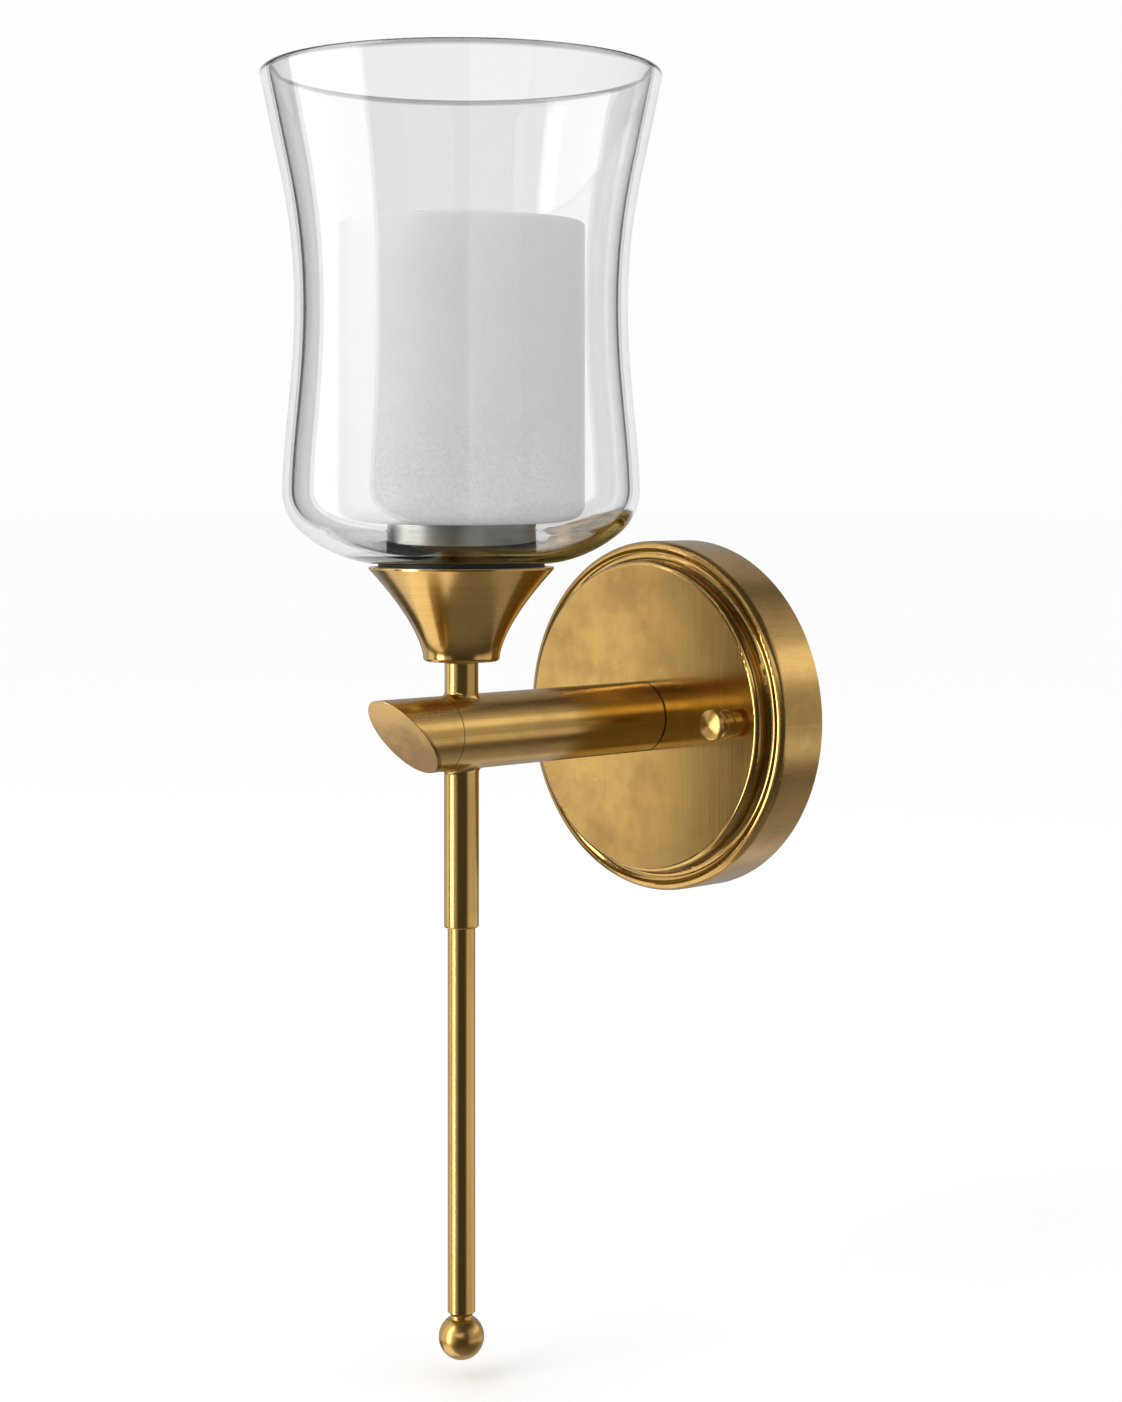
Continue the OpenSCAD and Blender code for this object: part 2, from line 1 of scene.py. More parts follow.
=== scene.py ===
"""Looks of the wall light: finishes, smooth glass and turned pieces, studio and camera."""
import json
import math
import bpy
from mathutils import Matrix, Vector


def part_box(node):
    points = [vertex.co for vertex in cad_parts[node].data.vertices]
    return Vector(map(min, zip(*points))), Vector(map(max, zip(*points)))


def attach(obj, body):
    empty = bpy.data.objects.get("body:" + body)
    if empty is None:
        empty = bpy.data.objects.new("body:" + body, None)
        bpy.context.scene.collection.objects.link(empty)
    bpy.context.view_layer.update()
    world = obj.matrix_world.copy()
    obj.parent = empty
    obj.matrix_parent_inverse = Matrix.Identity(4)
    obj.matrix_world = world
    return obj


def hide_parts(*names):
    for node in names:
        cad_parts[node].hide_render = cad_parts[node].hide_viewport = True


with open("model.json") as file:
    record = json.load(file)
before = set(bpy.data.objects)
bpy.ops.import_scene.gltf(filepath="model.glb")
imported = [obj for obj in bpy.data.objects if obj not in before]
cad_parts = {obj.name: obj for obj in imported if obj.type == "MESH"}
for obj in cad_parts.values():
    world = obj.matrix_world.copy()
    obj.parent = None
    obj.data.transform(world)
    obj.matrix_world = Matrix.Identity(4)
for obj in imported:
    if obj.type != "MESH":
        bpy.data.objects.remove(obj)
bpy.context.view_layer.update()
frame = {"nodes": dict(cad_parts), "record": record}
nodes = frame["nodes"]
MM = 0.001

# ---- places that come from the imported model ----


def middle(node):
    """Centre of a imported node's box."""
    low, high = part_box(node)
    return (low + high) / 2


def radius(node):
    """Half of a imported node's width along X."""
    low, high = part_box(node)
    return (high.x - low.x) / 2


STEM = Vector((0, middle("tail_rod").y, 0))
TRAVEL = {j["name"]: j["range_m"] for j in frame["record"]["behaviour"]["joints"] if "range_m" in j}

# Bores that the pipe and the M4 studs pass through, and the slope of the arm's cut end
PIPE_BORE = 5.15 * MM
STUD_BORE = 2.05 * MM
NOSE_CUT = math.radians(40)

# ---- node trees ----


class Wire:
    """An output of a node tree. Sums on it add Math nodes, and node() adds any other node."""

    def __init__(self, tree, socket=None):
        self.tree = tree
        self.socket = socket

    def node(self, kind, settings, sockets, output=None):
        """Adds one node: first its settings, then a value or a wire for each socket."""
        made = self.tree.nodes.new(kind)
        for name, value in settings.items():
            setattr(made, name, value)
        for name, value in sockets.items():
            if isinstance(value, Wire):
                self.tree.links.new(value.socket, made.inputs[name])
            else:
                made.inputs[name].default_value = value
        shown = [s for s in made.outputs if s.enabled]
        return Wire(self.tree, made.outputs[output] if output else shown[0])

    def sum(self, operation, *values):
        """A Math node on this wire and the other values."""
        return self.node("ShaderNodeMath", {"operation": operation}, dict(enumerate(values)))

    def __add__(self, other):
        return self.sum("ADD", self, other)

    __radd__ = __add__

    def __mul__(self, other):
        return self.sum("MULTIPLY", self, other)

    __rmul__ = __mul__

    def __sub__(self, other):
        return self.sum("SUBTRACT", self, other)

    def __rsub__(self, other):
        return self.sum("SUBTRACT", other, self)

    def ramp(self, low, high, start=0.0, end=1.0):
        """Goes smoothly from start to end while this value goes from low to high."""
        return self.node(
            "ShaderNodeMapRange",
            {"interpolation_type": "SMOOTHSTEP"},
            {"Value": self, "From Min": low, "From Max": high, "To Min": start, "To Max": end},
        )

    def between(self, low, high, soft):
        """1 where this value lies from low to high, and 0 further than soft outside."""
        return self.ramp(low - soft, low) * self.ramp(high, high + soft, 1.0, 0.0)

    def colour(self, first, second):
        """Mixes two colours, with this value as the share of the second."""
        return self.node(
            "ShaderNodeMix",
            {"data_type": "RGBA"},
            {0: self, 6: first, 7: second},
        )

    def noise(self, scale, detail=3.0, rough=0.5):
        """Noise on this vector."""
        return self.node(
            "ShaderNodeTexNoise",
            {},
            {"Vector": self, "Scale": scale, "Detail": detail, "Roughness": rough},
        )

    def part(self, axis):
        """X, Y or Z of this vector."""
        return self.node("ShaderNodeSeparateXYZ", {}, {"Vector": self}, axis)

    def stretch(self, scale, turn=(0, 0, 0)):
        """This vector, turned and scaled."""
        return self.node(
            "ShaderNodeMapping",
            {"vector_type": "POINT"},
            {"Vector": self, "Scale": scale, "Rotation": turn},
        )

    def cells(self, scale):
        """Distance to the nearest of many scattered points."""
        return self.node("ShaderNodeTexVoronoi", {}, {"Vector": self, "Scale": scale}, "Distance")

    def bump(self, strength, depth):
        """Normal that this height gives."""
        return self.node(
            "ShaderNodeBump",
            {},
            {"Height": self, "Strength": strength, "Distance": depth},
        )


class Finish(Wire):
    """A material: where() gives its coordinates and surface() closes it."""

    def __init__(self, name):
        self.material = bpy.data.materials.new(name)
        self.material.use_nodes = True
        super().__init__(self.material.node_tree)
        self.tree.nodes.clear()

    def where(self):
        """The place on the piece, in metres."""
        return self.node("ShaderNodeTexCoord", {}, {}, "Object")

    def surface(self, **sockets):
        """Principled shader with these sockets, as the material's surface."""
        named = {name.replace("_", " "): value for name, value in sockets.items()}
        self.close(self.node("ShaderNodeBsdfPrincipled", {}, named))
        return self.material

    def close(self, shader, inside=None):
        """Ends the tree with this surface, and with what fills the piece."""
        parts = {"Surface": shader}
        if inside:
            parts["Volume"] = inside
        self.node("ShaderNodeOutputMaterial", {}, parts)
        return self.material

    def node(self, kind, settings, sockets, output=None):
        if kind.startswith("ShaderNodeOutput"):
            made = self.tree.nodes.new(kind)
            for name, value in sockets.items():
                self.tree.links.new(value.socket, made.inputs[name])
            return self
        return super().node(kind, settings, sockets, output)


def rgb(red, green, blue):
    """An opaque colour."""
    return (red, green, blue, 1.0)


# ---- finishes ----

# Strokes per metre across and along a brushing direction
ACROSS = 2300
ALONG = 40

BRASS_DEEP = rgb(0.645, 0.385, 0.105)
BRASS_PALE = rgb(0.735, 0.453, 0.140)
BRASS_STAIN = rgb(0.43, 0.245, 0.065)
BRASS_SPECK = rgb(0.34, 0.19, 0.05)
BRASS_SCRATCH = rgb(0.82, 0.60, 0.29)
BRASS_PIT = rgb(0.17, 0.09, 0.03)
# Painted shade and painted highlight: dark brown low on a piece, bright brass near its top
BRASS_PAINTED_SHADE = rgb(0.32, 0.178, 0.047)
BRASS_PAINTED_HIGHLIGHT = rgb(0.82, 0.52, 0.175)
# Colour of painted shade in the canopy's cove and towards its raised face's edge
RING_SHADE = rgb(0.075, 0.040, 0.012)
SEAM_DIRT = rgb(0.10, 0.055, 0.02)

# Heights between which the frosted glass goes from clouded to nearly plain
CLOUDED = (85 * MM, 135 * MM)


def aged_brass(
    name, grain, turn=(0, 0, 0), patina=1.0, strokes=1.0, roughness=0.2, wear=1.0, coat=0.35,
    seams=(), rings=(), fade=None, worn=None,
):
    """Brushed brass that has aged under a worn lacquer.

    grain holds the stroke density along X, Y and Z, seams the place along Y, width and strength of
    each dark ring, and rings the inner radius, outer radius, softness, darkness (painted shade) and
    added roughness of each band round the Y axis. fade holds the heights between which the metal goes
    from painted shade (brown) to a painted highlight (bright), and worn the two places along Y between
    which an added roughness dies away, and that roughness."""
    f = Finish(name)
    spot = f.where()
    lay = spot.stretch((1, 1, 1), turn)
    brushed = lay.stretch(grain).noise(1.0, 2.0, 0.55)
    cloud = spot.noise(42.0, 4.0, 0.55) * 0.7 + spot.noise(150.0, 3.0, 0.5) * 0.3
    stain = cloud.ramp(0.42, 0.70) * patina
    speckle = spot.noise(800.0, 2.0, 0.5).ramp(0.60, 0.76)
    drift = f.node("ShaderNodeTexNoise", {}, {"Vector": spot, "Scale": 26.0}, "Color")
    bent = f.node(
        "ShaderNodeVectorMath",
        {"operation": "MULTIPLY_ADD"},
        {0: drift, 1: (0.03,) * 3, 2: spot},
    )
    webs = f.node(
        "ShaderNodeTexVoronoi",
        {"feature": "DISTANCE_TO_EDGE"},
        {"Vector": bent, "Scale": 48.0},
        "Distance",
    )
    scratch = webs.ramp(0.0, 0.007, 1.0, 0.0) * spot.noise(90.0, 1.0).ramp(0.58, 0.62) * wear
    pits = spot.cells(230.0).ramp(0.035, 0.075, 1.0, 0.0) * spot.noise(70.0).ramp(0.56, 0.62) * wear
    tone = (brushed.ramp(0.30, 0.70) * strokes).colour(BRASS_DEEP, BRASS_PALE)
    tone = (stain * 0.42).colour(tone, BRASS_STAIN)
    tone = (speckle * 0.08).colour(tone, BRASS_SPECK)
    tone = (scratch * 0.35).colour(tone, BRASS_SCRATCH)
    tone = (pits * 0.6).colour(tone, BRASS_PIT)
    # Painted shade low on the piece and a painted highlight near its top: the tone goes from dark brown to
    # bright with height.
    if fade:
        height = spot.part("Z") + (cloud - 0.5) * 40 * MM
        tone = height.ramp(fade[0], fade[1], 0.0, 1.0).colour(BRASS_PAINTED_SHADE, tone)
        tone = height.ramp(fade[0], fade[1] + 4 * MM, 0.0, 0.8).colour(tone, BRASS_PAINTED_HIGHLIGHT)
    rough = brushed.ramp(0.3, 0.7, -0.02 * strokes, 0.02 * strokes) + roughness
    rough = rough + stain * 0.05 + speckle * 0.03 - scratch * 0.03
    height = brushed * strokes * 0.5 + scratch * 0.2 - pits * 1.0
    if worn:
        along = spot.part("Y")
        rough = rough + along.ramp(worn[0], worn[1], worn[2], 0.0)
    for inner, outer, soft, dark, dull in rings:
        flat = f.node("ShaderNodeVectorMath", {"operation": "MULTIPLY"}, {0: spot, 1: (1, 0, 1)}, "Vector")
        reach = f.node("ShaderNodeVectorMath", {"operation": "LENGTH"}, {0: flat}, "Value")
        band = reach.between(inner, outer, soft)
        # Painted shade: the band's darkness is mixed in where shade falls in the cove and near the face's
        # edge.
        if dark:
            ring_shade = band * (cloud.ramp(0.35, 0.65, 0.75, 1.0) * dark)
            tone = ring_shade.colour(tone, RING_SHADE)
        rough = rough + band * dull
    for place, width, depth in seams:
        along = spot.part("Y")
        wobble = (spot.noise(180.0, 2.0) - 0.5) * 0.4 * MM
        ring = (along + wobble).between(place - width / 2, place + width / 2, 0.14 * MM)
        tone = (ring * depth).colour(tone, SEAM_DIRT)
        rough = rough + ring * depth * 0.3
        height = height - ring * 1.2
    return f.surface(
        Base_Color=tone,
        Metallic=1.0,
        Roughness=rough,
        Normal=height.bump(0.03, 0.00012),
        Coat_Weight=coat,
        Coat_Roughness=0.09,
    )


def clear_glass(name):
    """Blown glass with slow waves and a few seeds: lamps shine through it, and its edge-on
    sides and lip are darkened, a painted dark reflection."""
    f = Finish(name)
    spot = f.where()
    wave = spot.stretch((1, 1, 0.35)).noise(26.0, 1.0, 0.4)
    # Painted dark reflection: the base colour turns dark on edge-on sides and in a band at the lip.
    edge = f.node("ShaderNodeLayerWeight", {}, {"Blend": 0.5}, "Facing").ramp(0.84, 0.96)
    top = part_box("clear_glass")[1].z
    lip = spot.part("Z").ramp(top - 2.6 * MM, top - 1.6 * MM, 0.0, 0.6)
    painted_rim_shade = edge.sum("MAXIMUM", edge, lip)
    seed = spot.cells(120.0).ramp(0.02, 0.035, 1.0, 0.0) * spot.noise(40.0).ramp(0.60, 0.64)
    glass = f.node(
        "ShaderNodeBsdfPrincipled",
        {},
        {
            "Base Color": painted_rim_shade.colour(rgb(0.97, 0.972, 0.972), rgb(0.25, 0.255, 0.255)),
            "Roughness": 0.0,
            "IOR": 1.5,
            "Transmission Weight": 1.0,
            "Normal": (wave + seed * 0.02).bump(0.05, 0.0006),
        },
    )
    ray = f.node("ShaderNodeLightPath", {}, {}, "Is Shadow Ray")
    passing = f.node("ShaderNodeBsdfTransparent", {}, {"Color": rgb(0.93, 0.94, 0.94)})
    body = f.node("ShaderNodeVolumeAbsorption", {}, {"Color": rgb(0.80, 0.803, 0.803), "Density": 62.0})
    return f.close(f.node("ShaderNodeMixShader", {}, {0: ray, 1: glass, 2: passing}), body)


def frosted_glass(name):
    """Acid-etched white glass: satin, with faint clouds towards its foot."""
    f = Finish(name)
    spot = f.where()
    cloud = spot.noise(45.0, 4.0, 0.6).ramp(0.3, 0.7)
    grain = spot.noise(900.0, 3.0, 0.6)
    clouded = spot.part("Z").ramp(*CLOUDED, 1.0, 0.25)
    tone = (cloud * clouded).colour(rgb(0.93, 0.93, 0.925), rgb(0.86, 0.86, 0.855))
    tone = (grain.ramp(0.40, 0.66) * clouded * 0.5).colour(tone, rgb(0.70, 0.70, 0.695))
    return f.surface(
        Base_Color=tone,
        Roughness=cloud.ramp(0, 1, 0.30, 0.36),
        IOR=1.55,
        Subsurface_Weight=0.25,
        Subsurface_Radius=(0.004, 0.004, 0.004),
        Subsurface_Scale=1.0,
        Normal=grain.bump(0.05, 0.0001),
    )


def plain_metal(name, tone, roughness, grain=(700, 700, 700), variation=0.06):
    """Plated or turned metal for fasteners, pipes and caps."""
    f = Finish(name)
    spot = f.where()
    stroke = spot.stretch(grain).noise(1.0, 3.0, 0.6)
    cloud = spot.noise(120.0, 3.0, 0.5)
    dull = cloud.ramp(0.35, 0.75) * 0.6 + stroke.ramp(0.4, 0.8) * 0.3
    return f.surface(
        Base_Color=dull.colour(rgb(*tone), rgb(*[c * 0.72 for c in tone])),
        Metallic=1.0,
        Roughness=stroke.ramp(0.3, 0.7, roughness - variation, roughness + variation) + cloud * 0.04,
        Normal=stroke.bump(0.12, 0.0001),
    )


def moulded(name, tone, roughness=0.4, fine=2200.0):
    """Moulded plastic, glazed ceramic or cable insulation."""
    f = Finish(name)
    spot = f.where()
    grain = spot.noise(fine, 2.0, 0.5)
    cloud = spot.noise(90.0, 2.0, 0.5)
    return f.surface(
        Base_Color=cloud.ramp(0.3, 0.8).colour(rgb(*tone), rgb(*[c * 0.86 for c in tone])),
        Roughness=grain.ramp(0.3, 0.7, roughness - 0.05, roughness + 0.07),
        Normal=grain.bump(0.08, 0.0001),
    )


NOSE_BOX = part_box("nose_plate")
ARM_FRONT, ARM_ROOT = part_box("arm_tube")[0].y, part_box("arm_tube")[1].y

# Dark rings on the arm: place along Y, width and strength
NOSE_SEAM = (ARM_FRONT + 0.1 * MM, 0.17 * MM, 0.7)
ROOT_SEAM = (ARM_ROOT - 0.3 * MM, 0.45 * MM, 1.0)

# Bands on the canopy: inner and outer radius, softness, darkness and added roughness. The darkness is
# painted shade, in the cove and towards the raised face's edge.
COVE = (59.9 * MM, 61.0 * MM, 0.6 * MM, 0.35, 0.05)
CANOPY_SIDE = (66.2 * MM, 70 * MM, 1.2 * MM, 0.0, 0.11)
CANOPY_EDGE = (52 * MM, 60 * MM, 15 * MM, 0.16, 0.01)
plate_brass = aged_brass(
    "aged_brass_plate", (ACROSS, 80, 40), patina=1.15, strokes=0.6, roughness=0.11,
    rings=[COVE, CANOPY_SIDE, CANOPY_EDGE],
)
tube_brass = aged_brass("aged_brass_tube", (ACROSS, ACROSS, ALONG), patina=0.5, strokes=0.6)
arm_brass = aged_brass(
    "aged_brass_arm", (ACROSS, ALONG, ACROSS), patina=0.9, strokes=0.6, roughness=0.18,
    seams=[NOSE_SEAM, ROOT_SEAM], worn=(NOSE_BOX[0].y, ARM_ROOT, 0.09),
)
# The nose's face gets painted shade towards its foot and a painted highlight towards its top.
nose_brass = aged_brass(
    "aged_brass_nose", (ACROSS, ACROSS, ALONG), (-NOSE_CUT, 0, 0), patina=1.3, strokes=0.2,
    roughness=0.26, wear=0.0, coat=0.2, fade=(NOSE_BOX[0].z + 8 * MM, NOSE_BOX[1].z),
)
turned_brass = aged_brass("aged_brass_turned", (12, 12, ACROSS), patina=0.5, strokes=0.7, roughness=0.17)
small_brass = aged_brass("aged_brass_small", (600, 600, 600), patina=0.6, strokes=0.2, roughness=0.29)
bright_brass = plain_metal("bright_brass", (0.80, 0.60, 0.27), 0.28)
zinc_steel = plain_metal("zinc_steel", (0.60, 0.61, 0.62), 0.34)
rubber = moulded("black_rubber", (0.02, 0.02, 0.02), 0.55, 1500.0)
shade_glass = clear_glass("clear_glass")
etched_glass = frosted_glass("frosted_glass")
aluminium = plain_metal("satin_aluminium", (0.56, 0.55, 0.51), 0.36, (60, 60, 1500))
ceramic = moulded("white_ceramic", (0.80, 0.79, 0.75), 0.25)
cap_metal = plain_metal("lamp_cap", (0.72, 0.72, 0.73), 0.25, (40, 40, 2200))
opal = moulded("lamp_glass", (0.88, 0.87, 0.83), 0.16, 900.0)
brown = moulded("brown_insulation", (0.16, 0.06, 0.025), 0.42)
blue = moulded("blue_insulation", (0.03, 0.11, 0.40), 0.42)
green = moulded("green_insulation", (0.10, 0.33, 0.05), 0.42)

# ---- turned pieces ----

# Points of a turned piece that lie closer than this are one point
DOUBLES = 0.003 * MM


def turned(name, outline, centre, finish, body, node, along=(0, 0, 1), steps=160, crease=32):
    """Spins an outline of (radius, height) points round the line through centre, which runs along
    the given way. It rides the body and takes the place of the node.

    The outline starts and ends on the line, or comes back to its first point."""
    up = Vector(along)
    out = up.orthogonal().normalized() if up.z == 0 else Vector((1, 0, 0))
    places = [centre + out * r + up * h for r, h in outline]
    bpy.ops.object.select_all(action="DESELECT")
    bpy.ops.mesh.primitive_plane_add(size=MM, location=places[0])
    piece = bpy.context.object
    bpy.ops.object.mode_set(mode="EDIT")
    bpy.ops.mesh.select_all(action="SELECT")
    bpy.ops.mesh.merge(type="CENTER")
    for here, there in zip(places, places[1:]):
        bpy.ops.mesh.extrude_region_move(TRANSFORM_OT_translate={"value": there - here})
    bpy.ops.mesh.select_all(action="SELECT")
    bpy.ops.mesh.spin(steps=steps, angle=math.tau, center=centre, axis=up)
    bpy.ops.mesh.select_all(action="SELECT")
    bpy.ops.mesh.remove_doubles(threshold=DOUBLES)
    bpy.ops.mesh.normals_make_consistent(inside=False)
    bpy.ops.object.mode_set(mode="OBJECT")
    bpy.ops.object.transform_apply(location=True, rotation=True, scale=True)
    bpy.ops.object.shade_smooth_by_angle(angle=math.radians(crease))
    piece.name = name
    piece.data.materials.append(finish)
    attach(piece, body)
    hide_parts(node)
    return piece


def arc(r, h, size, start, end, steps):
    """Points of an arc of that size about (r, h), from start to end in degrees."""
    turns = [math.radians(start + (end - start) * i / steps) for i in range(steps + 1)]
    return [(r + size * math.cos(a), h + size * math.sin(a)) for a in turns]


def rounded(points, size, steps=5):
    """The same outline with its inner corners rounded: size is a length, or one for each corner."""
    made = [points[0]]
    sizes = size if isinstance(size, (list, tuple)) else [size] * (len(points) - 2)
    for before, corner, after, s in zip(points, points[1:], points[2:], sizes):
        if s == 0:
            made.append(corner)
            continue
        c = Vector(corner)
        start = c + (Vector(before) - c).normalized() * min(s, (Vector(before) - c).length * 0.48)
        end = c + (Vector(after) - c).normalized() * min(s, (Vector(after) - c).length * 0.48)
        for i in range(steps + 1):
            u = i / steps
            made.append(tuple(start * (1 - u) ** 2 + c * (2 * u * (1 - u)) + end * u**2))
    return made + [points[-1]]


def shade_outline(inset, floor):
    """Side of the clear shade from the foot up: bowl, belly, waist and flare."""
    lip_r = radius("clear_glass")
    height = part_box("clear_glass")[1].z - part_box("clear_glass")[0].z
    belly_r = lip_r * 0.8878
    waist_r = lip_r * 0.8283
    belly_h = height * 0.1469
    waist_h = height * 0.5198
    flare_h = height * 0.7853
    belly_arc, bowl_arc, belly_turn = 20 * MM, 50 * MM, 50
    flare_slope = math.radians(12)
    waist_arc = (flare_h - waist_h) / math.sin(flare_slope)
    swing = math.radians(belly_turn)
    belly_x = belly_r - belly_arc
    bowl_x = belly_x - (bowl_arc - belly_arc) * math.cos(swing)
    bowl_h = belly_h + (bowl_arc - belly_arc) * math.sin(swing)
    foot_turn = math.degrees(math.acos((bowl_h - floor) / (bowl_arc - inset)))
    side = arc(bowl_x, bowl_h, bowl_arc - inset, foot_turn - 90, -belly_turn, 14)
    side += arc(belly_x, belly_h, belly_arc - inset, -belly_turn, 0, 18)[1:]
    for i in range(1, 25):
        u = i / 24
        dent = (belly_r - waist_r) * math.sin(math.pi / 2 * u) ** 1.6
        side.append((belly_r - inset - dent, belly_h + (waist_h - belly_h) * u))
    for i in range(1, 17):
        a = flare_slope * i / 16
        bend = waist_arc * (1 - math.cos(a))
        side.append((waist_r - inset + bend, waist_h + waist_arc * math.sin(a)))
    top = height - 2 * MM
    flare_r = side[-1][0]
    for i in range(1, 7):
        h = flare_h + (top - flare_h) * i / 6
        side.append((flare_r + (h - flare_h) * math.tan(flare_slope), h))
    over = side[-1][0] + inset - lip_r + 0.02 * MM
    return [(r - over * max(0, (h - waist_h) / (top - waist_h)), h) for r, h in side]


def clear_shade():
    """Blown shade: 4 mm wall, rounded lip, and a hole in its floor for the pipe."""
    wall, floor, hole = 4 * MM, 5.5 * MM, 6.5 * MM
    outside = shade_outline(0, 0)
    inside = shade_outline(wall, floor)
    lip_r, lip_h = outside[-1]
    lip = arc(lip_r - wall / 2, lip_h, wall / 2, 0, 180, 14)[1:-1]
    outline = [(hole, 0)] + outside + lip + inside[::-1] + [(hole, floor), (hole, 0)]
    base = STEM + Vector((0, 0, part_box("clear_glass")[0].z))
    turned("clear_shade", outline, base, shade_glass, "fixture", "clear_glass", steps=224, crease=60)


def inner_glass():
    """Frosted cylinder with a rounded foot and a fire-polished rim."""
    r = radius("frosted_glass")
    low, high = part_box("frosted_glass")
    h, wall, corner, hole = high.z - low.z, 3 * MM, 7 * MM, 23 * MM
    outline = [(hole, 0)] + arc(r - corner, corner, corner, -90, 0, 12)
    outline += [(r, h * i / 6) for i in range(1, 6)]
    outline += arc(r - wall / 2, h - wall / 2, wall / 2, 0, 180, 10)
    outline += [(r - wall, h * i / 6) for i in range(5, 0, -1)]
    outline += arc(r - corner, corner, corner - wall, 0, -90, 8) + [(hole, wall), (hole, 0)]
    base = STEM + Vector((0, 0, low.z))
    turned("inner_glass", outline, base, etched_glass, "inner_glass", "frosted_glass", steps=160)


def flared_cup():
    """Spun cup with a rolled lip."""
    low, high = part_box("cone_cup")
    h = high.z - low.z
    top_r, foot_r, wall, lip, flare = radius("cone_cup"), 13.8 * MM, 1.6 * MM, 0.8 * MM, 1.5
    foot, floor = 1.4 * MM, 2 * MM
    rise = h - lip - foot

    def side(u):
        return foot_r + (top_r - foot_r) * u**flare, foot + rise * u

    outer = [side(i / 32) for i in range(1, 33)]
    inner = [(r - wall, z) for r, z in outer[:2:-1]]
    outline = [(PIPE_BORE, 0)] + arc(foot_r - foot, foot, foot, -90, 0, 8) + outer
    outline += rounded([outer[-1], (top_r, h), (top_r - wall, h), inner[0]], 0.3 * MM)[1:-1]
    outline += inner + [(foot_r - wall, floor), (PIPE_BORE, floor), (PIPE_BORE, 0)]
    base = STEM + Vector((0, 0, low.z))
    turned("flared_cup", outline, base, turned_brass, "fixture", "cone_cup", steps=160, crease=40)


def cap_nuts():
    """Turned nuts: collar with a bead, neck, and a domed head with a fine pip."""
    low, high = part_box("cap_nut_right")
    length = high.y - low.y
    depth = 6.5 * MM
    rim = [
        (4.5, 0), (4.9, 0.25), (4.9, 3.4), (4.6, 3.9), (3.75, 4.35), (3.5, 4.9), (3.55, 5.5), (4.0, 6.0),
        (5.2, 6.2), (5.62, 6.55), (5.7, 7.0), (5.7, 8.0), (5.55, 8.4), (5.15, 8.62),
    ]
    rim = rounded([(r * MM, h * MM) for r, h in rim], 0.22 * MM, 3)
    face = [(r * MM, length - (r * MM) * 0.24) for r in (4.6, 3.6, 2.4, 1.2)] + [(0, length)]
    outline = [(0, depth), (STUD_BORE, depth), (STUD_BORE, 0)] + rim + face
    for side, name in ((-1, "left"), (1, "right")):
        place = Vector((side * abs(middle("cap_nut_right").x), high.y, 0))
        turned(
            "cap_nut_turned_" + name, outline, place, small_brass, name + "_nut", "cap_nut_" + name,
            along=(0, -1, 0), steps=96, crease=24,
        )


def saddled(name, node, finish, outer_r, rise):
    """Tube that stands on the arm (rise 1) or hangs from it (rise -1), with a soldered fillet."""
    low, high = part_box(node)
    end = high.z if rise > 0 else -low.z
    arm_r, fillet, round_r = radius("arm_tube"), 2.0 * MM, 0.8 * MM
    start = arm_r - 0.02 * MM
    long = end - start
    foot = [(outer_r + fillet * (1 - t) ** 2, fillet * t**2) for t in [i / 8 for i in range(9)]]
    straight = [(outer_r, fillet + (long - fillet) * i / 8) for i in range(1, 8)]
    lip = arc(outer_r - round_r, long - round_r, round_r, 0, 90, 6)
    outline = foot + straight + lip + [(PIPE_BORE, long), (PIPE_BORE, 0), foot[0]]
    up = Vector((0, 0, rise))
    piece = turned(name, outline, STEM + up * start, finish, "fixture", node, along=up, steps=128, crease=50)
    fade_h = 9 * MM
    for v in piece.data.vertices:
        h = v.co.z * rise - start
        fade = min(1, max(0, (fade_h - h) / (fade_h - fillet)))
        drop = arm_r - math.sqrt(arm_r**2 - min(abs(v.co.x), arm_r) ** 2)
        v.co.z -= rise * drop * fade
    return piece


def nose_cover():
    """Flat plate that closes the slanted end of the arm, with an eased front edge."""
    r, thick = radius("arm_tube"), 1.3 * MM
    centre = Vector((0, NOSE_BOX[0].y + r * math.tan(NOSE_CUT), 0))
    way = Vector((0, math.cos(NOSE_CUT), math.sin(NOSE_CUT)))
    bpy.ops.object.select_all(action="DESELECT")
    bpy.ops.mesh.primitive_cylinder_add(
        vertices=160, radius=r, depth=60 * MM, location=centre, rotation=(math.pi / 2, 0, 0)
    )
    piece = bpy.context.object
    bpy.ops.object.mode_set(mode="EDIT")
    bpy.ops.mesh.select_all(action="SELECT")
    bpy.ops.mesh.bisect(plane_co=centre, plane_no=way, use_fill=True, clear_inner=True)
    bpy.ops.mesh.select_all(action="SELECT")
    bpy.ops.mesh.bisect(plane_co=centre + way * thick, plane_no=way, use_fill=True, clear_outer=True)
    bpy.ops.mesh.select_mode(type="FACE")
    bpy.ops.object.mode_set(mode="OBJECT")
    bpy.ops.object.transform_apply(location=True, rotation=True, scale=True)

    def pick_front():
        bpy.ops.object.mode_set(mode="EDIT")
        bpy.ops.mesh.select_all(action="DESELECT")
        bpy.ops.object.mode_set(mode="OBJECT")
        for face in piece.data.polygons:
            face.select = face.normal.dot(way) < -0.9999
        bpy.ops.object.mode_set(mode="EDIT")

    pick_front()
    bpy.ops.mesh.bevel(offset=0.35 * MM, segments=4, affect="EDGES")
    pick_front()
    bpy.ops.mesh.inset(thickness=0.2 * MM)
    bpy.ops.mesh.select_all(action="SELECT")
    bpy.ops.mesh.normals_make_consistent(inside=False)
    bpy.ops.mesh.select_mode(type="VERT")
    bpy.ops.object.mode_set(mode="OBJECT")
    bpy.ops.object.shade_smooth_by_angle(angle=math.radians(46))
    piece.name = "nose_cover"
    piece.data.materials.append(nose_brass)
    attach(piece, "fixture")
    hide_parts("nose_plate")


